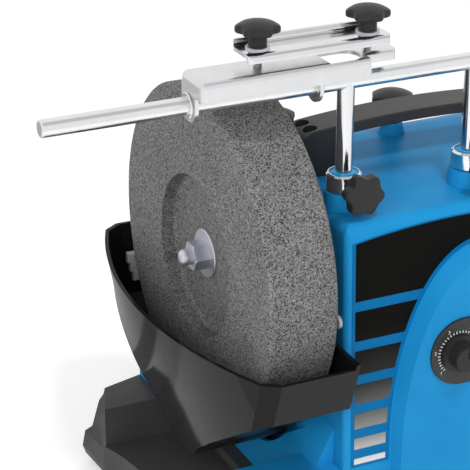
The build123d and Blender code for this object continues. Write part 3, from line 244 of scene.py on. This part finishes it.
# moulded plastics: colour, a fine spark-eroded skin and its depth
plastics = {
    "housingBlue": {
        "colour": srgb(30, 140, 199), "shade": srgb(26, 133, 192),
        "rough": 0.42, "gloss": 0.1, "skin": 0.0009, "depth": 0.00003,
    },
    "baseBlack": {
        "colour": grey(68), "shade": grey(62),
        "rough": 0.5, "gloss": 0.2, "skin": 0.0008, "depth": 0.00006,
    },
    "handleBlack": {
        "colour": grey(54), "shade": grey(48),
        "rough": 0.42, "gloss": 0.22, "skin": 0.0007, "depth": 0.00005,
    },
    "knobBlack": {
        "colour": grey(45), "shade": grey(40),
        "rough": 0.42, "gloss": 0.2, "skin": 0.0006, "depth": 0.00005,
    },
    "coreBlack": {
        "colour": grey(60), "shade": grey(52),
        "rough": 0.5, "gloss": 0.3, "skin": 0.0009, "depth": 0.00005,
    },
    "gearGrey": {
        "colour": grey(188), "shade": grey(174),
        "rough": 0.5, "gloss": 0.3, "skin": 0.001, "depth": 0.00004,
    },
    "coverBlack": {
        "colour": grey(56), "shade": grey(50),
        "rough": 0.55, "gloss": 0.25, "skin": 0.0008, "depth": 0.00006,
    },
}

# what all the plastics share: cloudy colour, and places rubbed smooth by handling
handling = {
    "cloud": 0.045, "rub": 0.02, "rubEdges": (0.45, 0.8), "rubShine": 0.07, "skinRough": 0.12, "bump": 0.7,
}


def plasticFinish(name):
    look = plastics[name]
    f = Finish(name)
    cloud = f.stretch(f.noise(handling["cloud"], detail=3))
    skin = f.noise(look["skin"], rough=0.6)
    rub = f.span(f.noise(handling["rub"], detail=4, rough=0.65), *handling["rubEdges"])
    colour = f.blend(cloud, look["colour"], look["shade"])
    rough = look["rough"] + f.sway(skin, handling["skinRough"]) - rub * handling["rubShine"]
    bump = f.bump(skin, look["depth"], handling["bump"])
    return f.surface(Base_Color=colour, Roughness=rough, Specular_IOR_Level=look["gloss"], Normal=bump)


dress(plasticFinish("housingBlue"), "housing_shell", "housing_skirt", "post_bosses")
dress(plasticFinish("baseBlack"), "base_frame", "trough_rail", "switch_frame")
dress(plasticFinish("handleBlack"), "carry_handle")
dress(
    plasticFinish("knobBlack"),
    "left_clamp_knob", "right_clamp_knob", "rear_left_knob", "rear_right_knob",
    "jig_left_knob", "jig_right_knob", "speed_dial", "cable_gland",
)
dress(plasticFinish("coreBlack"), "honing_core", "honing_nut", "drive_wheel")
dress(plasticFinish("coverBlack"), "rear_cover")
dress(plasticFinish("gearGrey"), "swarf_magnet", "speed_sensor")
print("plastics done")

# trough: glossy black moulding, duller inside; painted shade darkens the inside, a painted dark reflection
# darkens the front corner facet, and upward faces such as the rim take the same dark grey as the inside
trough = {
    "colour": grey(46), "shade": grey(43), "wet": grey(19), "corner": grey(33), "cloud": 0.05,
    "rough": 0.12, "insideRough": 0.3, "gloss": 0.06, "skin": 0.004, "skinRough": 0.04,
    "depth": 0.000008, "bump": 0.2,
    "insideEdges": (-0.004, -0.002), "cornerNormal": -0.35, "rimNormal": 0.6,
}


def troughFinish():
    f = Finish("troughBlack")
    x, y = f.axes(f.place())[:2]
    midX, midY = middle("water_trough")[:2]
    sideways, forward, upward = f.axes(f.normal())
    outward = (x - midX) * sideways + (y - midY) * forward
    inside = f.span(outward, *trough["insideEdges"], start=1, end=0)
    # painted reflection: a mask of the front corner facet, which is made darker in place of the dark
    # reflection it would show
    corner = (sideways < trough["cornerNormal"]) * (forward < trough["cornerNormal"]) * (1 - inside)
    skin = f.noise(trough["skin"], rough=0.6)
    cloud = f.stretch(f.noise(trough["cloud"], detail=3))
    colour = f.blend(cloud, trough["colour"], trough["shade"])
    # painted shade: the inside is made darker, as if in the trough's own shadow
    colour = f.blend(inside, colour, trough["wet"])
    colour = f.blend(corner, colour, trough["corner"])
    # upward faces, the rim top among them, take the same dark grey
    colour = f.blend(upward > trough["rimNormal"], colour, trough["wet"])
    rough = trough["rough"] + f.sway(skin, trough["skinRough"]) + inside * trough["insideRough"]
    bump = f.bump(skin, trough["depth"], trough["bump"])
    return f.surface(Base_Color=colour, Roughness=rough, Specular_IOR_Level=trough["gloss"], Normal=bump)


dress(troughFinish(), "water_trough")
print("trough done")

# metals: colour, roughness, how far smears dull it and how strong its fine lines are
metals = {
    "chrome": {"colour": (0.77, 0.775, 0.785, 1), "rough": 0.12, "smear": 0.06, "line": 0.0},
    "bar": {"colour": (0.79, 0.795, 0.8, 1), "rough": 0.2, "smear": 0.05, "line": 0.05},
    "plate": {"colour": (0.75, 0.755, 0.765, 1), "rough": 0.13, "smear": 0.08, "line": 0.1},
    "satin": {"colour": (0.73, 0.735, 0.745, 1), "rough": 0.27, "smear": 0.08, "line": 0.15},
    "zinc": {"colour": (0.67, 0.68, 0.745, 1), "rough": 0.46, "smear": 0.1, "line": 0.3},
    "steel": {"colour": (0.56, 0.56, 0.57, 1), "rough": 0.27, "smear": 0.12, "line": 0.4},
    "castCase": {"colour": (0.42, 0.42, 0.43, 1), "rough": 0.5, "smear": 0.12, "line": 0.2},
}

# what all the metals share
polish = {
    "smear": 0.018, "smearEdges": (0.35, 0.75), "stain": 0.35, "stainTone": 0.86,
    "fine": 0.0007, "fineRough": 0.2, "fineRise": 0.12, "depth": 0.00002, "bump": 0.5,
}


def metalFinish(name):
    look = metals[name]
    f = Finish(name)
    smear = f.span(f.noise(polish["smear"], detail=4, rough=0.6), *polish["smearEdges"])
    fine = f.noise(polish["fine"], rough=0.6)
    stained = [polish["stainTone"] * c for c in look["colour"][:3]] + [1]
    colour = f.blend(smear * polish["stain"], look["colour"], stained)
    rough = look["rough"] + smear * look["smear"] + f.sway(fine, look["line"] * polish["fineRough"])
    bump = f.bump(fine * polish["fineRise"], polish["depth"], polish["bump"])
    return f, colour, rough, bump


def plainMetal(name):
    f, colour, rough, bump = metalFinish(name)
    return f.surface(Base_Color=colour, Metallic=1.0, Roughness=rough, Normal=bump)


# wall screws: dull pale plating
pale = {
    "colour": srgb(206, 210, 210), "shade": srgb(184, 189, 190), "metal": 0.15, "rough": 0.5,
    "cloud": 0.004, "fine": 0.0006, "fineRough": 0.1, "depth": 0.00002, "bump": 0.5,
}


def paleFinish():
    f = Finish("paleScrew")
    cloud = f.stretch(f.noise(pale["cloud"], detail=3))
    fine = f.noise(pale["fine"])
    colour = f.blend(cloud, pale["colour"], pale["shade"])
    rough = pale["rough"] + f.sway(fine, pale["fineRough"])
    bump = f.bump(fine, pale["depth"], pale["bump"])
    return f.surface(Base_Color=colour, Metallic=pale["metal"], Roughness=rough, Normal=bump)


# clamp plate: plated, with its underside painted a dark matte grey: painted shade under the clamp, which the
# base plate below shows in its reflection
paintedUnderShade = {"colour": grey(40), "rough": 0.5, "underNormal": -0.5}


def clampMetal():
    f, colour, rough, bump = metalFinish("plate")
    # painted shade: faces turned downwards are made dark and matte
    under = f.axes(f.normal())[2] < paintedUnderShade["underNormal"]
    colour = f.blend(under, colour, paintedUnderShade["colour"])
    rough = rough + under * paintedUnderShade["rough"]
    return f.surface(Base_Color=colour, Metallic=1 - under, Roughness=rough, Normal=bump)


# post sleeves: plated, with a painted reflection of the blue housing as a blue ring in the top of each collar
paintedBlueReflection = {"colour": srgb(34, 146, 192), "inner": 0.0061, "outer": 0.0106, "depth": 0.0012, "rough": 0.3}


def sleeveMetal(sleeve, post):
    f, colour, rough, bump = metalFinish("chrome")
    x, y, z = f.axes(f.place())
    midX, midY = middle(post)[:2]
    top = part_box(sleeve)[1][2]
    radius = f.distance(x - midX, y - midY)
    # painted reflection: a blue ring on the collar top
    ring = (radius > paintedBlueReflection["inner"]) * (radius < paintedBlueReflection["outer"]) * (z > top - paintedBlueReflection["depth"])
    colour = f.blend(ring, colour, paintedBlueReflection["colour"])
    rough = rough + ring * paintedBlueReflection["rough"]
    return f.surface(Base_Color=colour, Metallic=1 - ring, Roughness=rough, Normal=bump)


dress(plainMetal("bar"), "support_bar")
dress(
    plainMetal("chrome"),
    "support_left_post", "support_right_post", "rear_left_sleeve", "rear_right_sleeve",
    "jig_left_bush", "jig_right_bush",
)
dress(sleeveMetal("left_post_sleeve", "support_left_post"), "left_post_sleeve")
dress(sleeveMetal("right_post_sleeve", "support_right_post"), "right_post_sleeve")
dress(plainMetal("satin"), "jig_base_plate")
dress(clampMetal(), "jig_clamp_plate")
dress(
    plainMetal("zinc"),
    "stone_washer", "stone_nut", "main_shaft", "honing_washer", "jig_left_washer", "jig_right_washer",
)
dress(paleFinish(), "wall_screws")
steel = plainMetal("steel")
dress(
    steel,
    "stone_flange", "base_screws", "cover_screws", "handle_screws", "shaft_bearings",
    "motor_shaft", "drive_roller", "chassis", "motor_bracket",
)
dress(plainMetal("castCase"), "motor_body")
print("metals done")

# jig studs: a rolled thread, cut as a real groove along each rod; crest, flank and root share out the pitch
stud = {
    "pitch": 0.001, "deep": 0.00055, "crest": 0.125, "flank": 0.3125, "root": 0.25,
    "radius": 0.003, "headTall": 0.002, "shank": 0.0018, "around": 40, "rows": 8, "sharp": 50,
}


def groove(turns):
    place = turns % 1.0
    if place < stud["crest"]:
        return 0.0
    if place < stud["crest"] + stud["flank"]:
        return (place - stud["crest"]) / stud["flank"]
    if place < stud["crest"] + stud["flank"] + stud["root"]:
        return 1.0
    return (1.0 - place) / stud["flank"]


def studShape(x, y, low, high, headRadius, verts, faces):
    first = len(verts)
    around = stud["around"]
    angles = [2 * math.pi * k / around for k in range(around)]
    neck = low + stud["headTall"]
    start = neck + stud["shank"]
    count = round((high - start) / stud["pitch"] * stud["rows"])
    rings = [(low, headRadius, 0.0), (neck, headRadius, 0.0), (neck, stud["radius"], 0.0)]
    for k in range(count + 1):
        z = start + (high - start) * k / count
        ease = min(1.0, (z - start) / stud["pitch"])         # the groove runs out over the first turn
        rings.append((z, stud["radius"], stud["deep"] * ease))
    for z, radius, deep in rings:
        for angle in angles:
            reach = radius - deep * groove(z / stud["pitch"] - angle / (2 * math.pi))
            verts.append((x + reach * math.cos(angle), y + reach * math.sin(angle), z))
    for row in range(len(rings) - 1):
        for k in range(around):
            a = first + row * around + k
            b = first + row * around + (k + 1) % around
            faces.append((a, b, b + around, a + around))
    faces.append([first + k for k in reversed(range(around))])
    faces.append([first + (len(rings) - 1) * around + k for k in range(around)])


def makeStuds():
    low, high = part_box("jig_studs")
    headRadius = (high[1] - low[1]) / 2
    midY = middle("jig_studs")[1]
    verts = []
    faces = []
    for x in (low[0] + headRadius, high[0] - headRadius):
        studShape(x, midY, low[2], high[2], headRadius, verts, faces)
    mesh = bpy.data.meshes.new("jigStuds")
    mesh.from_pydata(verts, [], faces)
    mesh.shade_smooth()
    mesh.set_sharp_from_angle(angle=math.radians(stud["sharp"]))
    mesh.materials.append(steel)
    piece = addPiece("jigStuds", mesh)
    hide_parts("jig_studs")
    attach(piece, "jig")


makeStuds()
print("studs done")

# feet and tyre: dusty black rubber
rubber = {
    "colour": grey(34), "dust": grey(60), "dustSize": 0.012, "dustEdges": (0.5, 0.8), "dustShare": 0.5,
    "rough": 0.8, "dustShine": 0.1, "skin": 0.0009, "depth": 0.00008, "bump": 0.7,
}


def rubberFinish():
    f = Finish("footRubber")
    dust = f.span(f.noise(rubber["dustSize"], detail=4, rough=0.7), *rubber["dustEdges"])
    skin = f.noise(rubber["skin"])
    colour = f.blend(dust * rubber["dustShare"], rubber["colour"], rubber["dust"])
    rough = rubber["rough"] - dust * rubber["dustShine"]
    return f.surface(Base_Color=colour, Roughness=rough, Normal=f.bump(skin, rubber["depth"], rubber["bump"]))


# honing band: worn tan leather with fine creases between its pores
leather = {
    "tan": srgb(158, 112, 70), "dark": srgb(112, 72, 40), "pore": 0.0016, "crease": 0.14, "creaseShare": 0.45,
    "wear": 0.025, "wearEdges": (0.3, 0.75), "rough": 0.55, "wearRough": 0.15, "depth": 0.00018, "bump": 0.6,
}


def leatherFinish():
    f = Finish("honingLeather")
    pores = f.cells(leather["pore"], "DISTANCE_TO_EDGE", "Distance")
    crease = f.span(pores, 0.0, leather["crease"])
    wear = f.span(f.noise(leather["wear"], detail=4, rough=0.6), *leather["wearEdges"])
    colour = f.blend(wear, leather["dark"], leather["tan"])
    colour = f.blend((1 - crease) * leather["creaseShare"], colour, leather["dark"])
    rough = leather["rough"] + wear * leather["wearRough"]
    bump = f.bump(crease, leather["depth"], leather["bump"])
    return f.surface(Base_Color=colour, Roughness=rough, Normal=bump)


# speed board, inside the housing
board = {
    "colour": srgb(30, 92, 52), "shade": srgb(24, 76, 42), "weave": 0.0012, "weaveEdges": (0.35, 0.65),
    "rough": 0.35, "weaveRough": 0.1, "depth": 0.00003, "bump": 0.5,
}


def boardFinish():
    f = Finish("circuitBoard")
    weave = f.noise(board["weave"])
    colour = f.blend(f.span(weave, *board["weaveEdges"]), board["colour"], board["shade"])
    rough = board["rough"] + weave * board["weaveRough"]
    return f.surface(Base_Color=colour, Roughness=rough, Normal=f.bump(weave, board["depth"], board["bump"]))


dress(rubberFinish(), "rubber_feet", "drive_tyre")
dress(leatherFinish(), "honing_leather")
dress(boardFinish(), "speed_board")
print("soft and hidden finishes done")

# printed label: deep blue film, with stripes that fade from black to nearly white down the front
label = {
    "field": srgb(6, 110, 166), "fieldShade": srgb(4, 103, 158), "fieldGloss": 0.08, "cloud": 0.02,
    "stripeGloss": 0.03, "warm": 2, "rough": 0.42, "skin": 0.0009, "skinRough": 0.08,
    "depth": 0.00002, "bump": 0.5,
    "fade": [                                    # height from the stone's axis, and the grey there
        (-0.140, 226), (-0.128, 198), (-0.115, 140), (-0.107, 136), (-0.095, 98),
        (-0.087, 92), (-0.072, 52), (-0.046, 26), (-0.03, 16),
    ],
}


def filmFinish(f, colour, gloss):
    skin = f.noise(label["skin"])
    rough = label["rough"] + f.sway(skin, label["skinRough"])
    bump = f.bump(skin, label["depth"], label["bump"])
    return f.surface(Base_Color=colour, Roughness=rough, Specular_IOR_Level=gloss, Normal=bump)


def fieldFinish():
    f = Finish("labelField")
    cloud = f.stretch(f.noise(label["cloud"], detail=3))
    return filmFinish(f, f.blend(cloud, label["field"], label["fieldShade"]), label["fieldGloss"])


def stripeFinish():
    f = Finish("labelStripes")
    axisZ = middle("grinding_stone")[2]
    low = label["fade"][0][0]
    high = label["fade"][-1][0]
    share = f.span(f.axes(f.place())[2] - axisZ, low, high)
    stops = []
    for place, tone in label["fade"]:
        stops.append(((place - low) / (high - low), srgb(tone, tone, tone - label["warm"])))
    return filmFinish(f, f.ramp(share, stops), label["stripeGloss"])


dress(fieldFinish(), "label_field")
dress(stripeFinish(), "label_stripes")
print("label done")

# control panel: dark plate with a ring of speed marks round the dial, and plain numbers
panel = {
    "plate": grey(34), "plateShade": grey(28), "cloud": 0.03, "rough": 0.44, "skin": 0.0007, "skinRough": 0.1,
    "depth": 0.00004, "bump": 0.6, "ink": grey(226), "inkWorn": grey(205), "inkRough": 0.5, "wear": 0.002,
    "wearEdges": (0.35, 0.75), "wearRough": 0.1, "sweep": 270, "ticks": 31, "tickHalf": 0.14,
    "tickIn": 0.0152, "tickOut": 0.0170, "numbers": "123456", "numberRing": 0.0194, "numberSize": 0.0036,
    "numberRise": 0.00008, "numberGap": 0.00012,
}


def panelFinish(centre):
    f = Finish("panelPlate")
    x, z = f.axes(f.place())[::2]
    dx = x - centre[0]
    dz = z - centre[2]
    radius = f.distance(dx, dz)
    angle = f.add("ShaderNodeMath", {"operation": "ARCTAN2"}, {0: dx, 1: dz})
    step = math.radians(panel["sweep"]) / (panel["ticks"] - 1)
    phase = f.add("ShaderNodeMath", {"operation": "FRACT"}, {0: angle / step + 0.5})
    inSweep = abs(angle) < math.radians(panel["sweep"] / 2 + 1)      # a degree more, for the end ticks' width
    inRing = (radius > panel["tickIn"]) * (radius < panel["tickOut"])
    mark = (abs(phase - 0.5) < panel["tickHalf"]) * inRing * inSweep
    skin = f.noise(panel["skin"])
    cloud = f.stretch(f.noise(panel["cloud"], detail=3))
    colour = f.blend(cloud, panel["plate"], panel["plateShade"])
    colour = f.blend(mark, colour, panel["ink"])
    rough = panel["rough"] + f.sway(skin, panel["skinRough"])
    return f.surface(Base_Color=colour, Roughness=rough, Normal=f.bump(skin, panel["depth"], panel["bump"]))


def inkFinish():
    f = Finish("panelInk")
    wear = f.noise(panel["wear"], detail=3, rough=0.6)
    colour = f.blend(f.span(wear, *panel["wearEdges"]), panel["ink"], panel["inkWorn"])
    return f.surface(Base_Color=colour, Roughness=panel["inkRough"] + f.sway(wear, panel["wearRough"]))


def numberPiece(text, spot):
    curve = bpy.data.curves.new("number" + text, "FONT")
    curve.body = text
    curve.size = panel["numberSize"]
    curve.align_x = "CENTER"
    curve.align_y = "CENTER"
    curve.extrude = panel["numberRise"]
    holder = addPiece("holder" + text, curve)
    bpy.context.view_layer.update()
    mesh = bpy.data.meshes.new_from_object(holder.evaluated_get(bpy.context.evaluated_depsgraph_get()))
    bpy.data.objects.remove(holder)
    piece = addPiece("dialNumber" + text, mesh)
    piece.rotation_euler = (math.pi / 2, 0, 0)
    piece.location = spot
    return piece


def makeNumbers(centre):
    ink = inkFinish()
    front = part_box("control_panel")[0][1] - panel["numberGap"]
    ring = panel["numberRing"]
    for k, text in enumerate(panel["numbers"]):
        share = k / (len(panel["numbers"]) - 1)
        turn = math.radians(panel["sweep"] * (share - 0.5))
        spot = (centre[0] + ring * math.sin(turn), front, centre[2] + ring * math.cos(turn))
        number = numberPiece(text, spot)
        number.data.materials.append(ink)
        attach(number, "machine")


# rocker: red, with a bar above and a ring below in the panel's ink
rocker = {
    "colour": srgb(178, 28, 26), "shade": srgb(160, 22, 22), "cloud": 0.01, "rough": 0.32, "skin": 0.0006,
    "skinRough": 0.1, "depth": 0.00003, "bump": 0.5, "markRise": 0.0055, "barHalf": 0.0023,
    "ringRadius": 0.0021, "line": 0.00035,
}


def rockerFinish(centre):
    f = Finish("rockerRed")
    x, z = f.axes(f.place())[::2]
    dx = x - centre[0]
    dz = z - centre[2]
    bar = (abs(dx) < rocker["line"]) * (abs(dz - rocker["markRise"]) < rocker["barHalf"])
    radius = f.distance(dx, dz + rocker["markRise"])
    ring = abs(radius - rocker["ringRadius"]) < rocker["line"]
    skin = f.noise(rocker["skin"])
    cloud = f.stretch(f.noise(rocker["cloud"], detail=3))
    colour = f.blend(cloud, rocker["colour"], rocker["shade"])
    colour = f.blend(bar + ring, colour, panel["ink"])
    rough = rocker["rough"] + f.sway(skin, rocker["skinRough"])
    return f.surface(Base_Color=colour, Roughness=rough, Normal=f.bump(skin, rocker["depth"], rocker["bump"]))


dialCentre = middle("speed_dial")
dress(panelFinish(dialCentre), "control_panel")
dress(rockerFinish(middle("switch_rocker")), "switch_rocker")
makeNumbers(dialCentre)
print("panel done")

# floor and white surround; far out the floor turns into the surround
stage = {
    "floor": 0.86, "floorGlow": 0.33, "size": 14.0, "near": 0.5, "far": 1.6,
    "worldSeen": 1.0, "worldLight": 0.52,
}


def floorFinish():
    f = Finish("floorWhite")
    x, y = f.axes(f.place())[:2]
    paint = f.add("ShaderNodeBsdfDiffuse", None, {"Color": (stage["floor"],) * 3 + (1,)})
    lit = f.add("ShaderNodeAddShader", None, {0: paint, 1: f.glow(stage["floorGlow"])})
    far = f.span(f.distance(x, y), stage["near"], stage["far"])
    seen = f.add("ShaderNodeMixShader", None, {0: far, 1: lit, 2: f.glow(stage["worldSeen"])})
    mix = f.add("ShaderNodeMixShader", None, {0: f.shown(), 1: paint, 2: seen})
    f.add("ShaderNodeOutputMaterial", None, {"Surface": mix})
    return f.made


def flatCard(name, left, right, front, rear, height, material):
    corners = [(left, front, height), (right, front, height), (right, rear, height), (left, rear, height)]
    mesh = bpy.data.meshes.new(name)
    mesh.from_pydata(corners, [], [(0, 1, 2, 3)])
    mesh.materials.append(material)
    return addPiece(name, mesh)


def makeFloor():
    half = stage["size"] / 2
    floor = flatCard("floor", -half, half, -half, half, 0, floorFinish())


# grey cards that only glossy pieces show, as painted reflections: shaded floor behind the machine, darkest in
# a strip, and a dim ceiling before it
shades = {
    "floorNear": {"left": -0.7, "right": 0.1, "front": 0.12, "rear": 0.188, "height": 0.0005, "tone": 0.62},
    "floorShadeStrip": {"left": -0.7, "right": 0.1, "front": 0.188, "rear": 0.236, "height": 0.0005, "tone": 0.12},
    "floorFar": {"left": -0.7, "right": 0.1, "front": 0.236, "rear": 1.0, "height": 0.0005, "tone": 0.42},
    "ceiling": {"left": -1.6, "right": 1.6, "front": -2.2, "rear": 0.0, "height": 2.6, "tone": 0.62},
}


def makeShades():
    for name, look in shades.items():
        f = Finish(name)
        f.add("ShaderNodeOutputMaterial", None, {"Surface": f.glow(look["tone"])})
        sides = [look[side] for side in ("left", "right", "front", "rear", "height")]
        card = flatCard(name, *sides, f.made)
        card.visible_camera = False
        card.visible_diffuse = False
        card.visible_shadow = False


def makeWorld():
    f = Finish("surround", "worlds")
    level = f.span(f.shown(), 0, 1, stage["worldLight"], stage["worldSeen"])
    back = f.add("ShaderNodeBackground", None, {"Color": (1, 1, 1, 1), "Strength": level})
    f.add("ShaderNodeOutputWorld", None, {"Surface": back})
    bpy.context.scene.world = f.made


# soft square lamps, all turned to the middle of the machine
lamps = {
    "keyLamp": {"spot": (-1.65, -1.95, 1.5), "size": 1.6, "power": 42},
    "topLamp": {"spot": (0.1, -1.15, 2.3), "size": 0.3, "power": 18},
    "backLamp": {"spot": (1.2, 1.8, 1.4), "size": 1.4, "power": 4},
}
lampAim = (0.0, 0.0, 0.2)


def makeLamps():
    for name, look in lamps.items():
        data = bpy.data.lights.new(name, "AREA")
        data.shape = "SQUARE"
        data.size = look["size"]
        data.energy = look["power"]
        lamp = addPiece(name, data)
        lamp.location = look["spot"]
        lamp.visible_glossy = False              # chrome shows the surround, not the lamps
        toward = Vector(lampAim) - Vector(look["spot"])
        lamp.rotation_euler = toward.to_track_quat("-Z", "Y").to_euler()


# camera, worked out from the stone's rim: degrees down and round, lens and sensor in mm
view = {
    "spot": (-0.57026, -1.07706, 0.75020), "down": 24.147, "round": -25.059,
    "lens": 138.55, "sensor": 36, "reach": 50,
}


def makeCamera():
    data = bpy.data.cameras.new("camera")
    data.sensor_width = view["sensor"]
    data.lens = view["lens"]
    data.clip_end = view["reach"]
    camera = addPiece("camera", data)
    camera.location = view["spot"]
    camera.rotation_euler = (math.radians(90 - view["down"]), 0, math.radians(view["round"]))
    bpy.context.scene.camera = camera


makeFloor()
makeShades()
makeWorld()
makeLamps()
makeCamera()
bpy.context.scene.view_settings.view_transform = "Standard"
print("stage done")
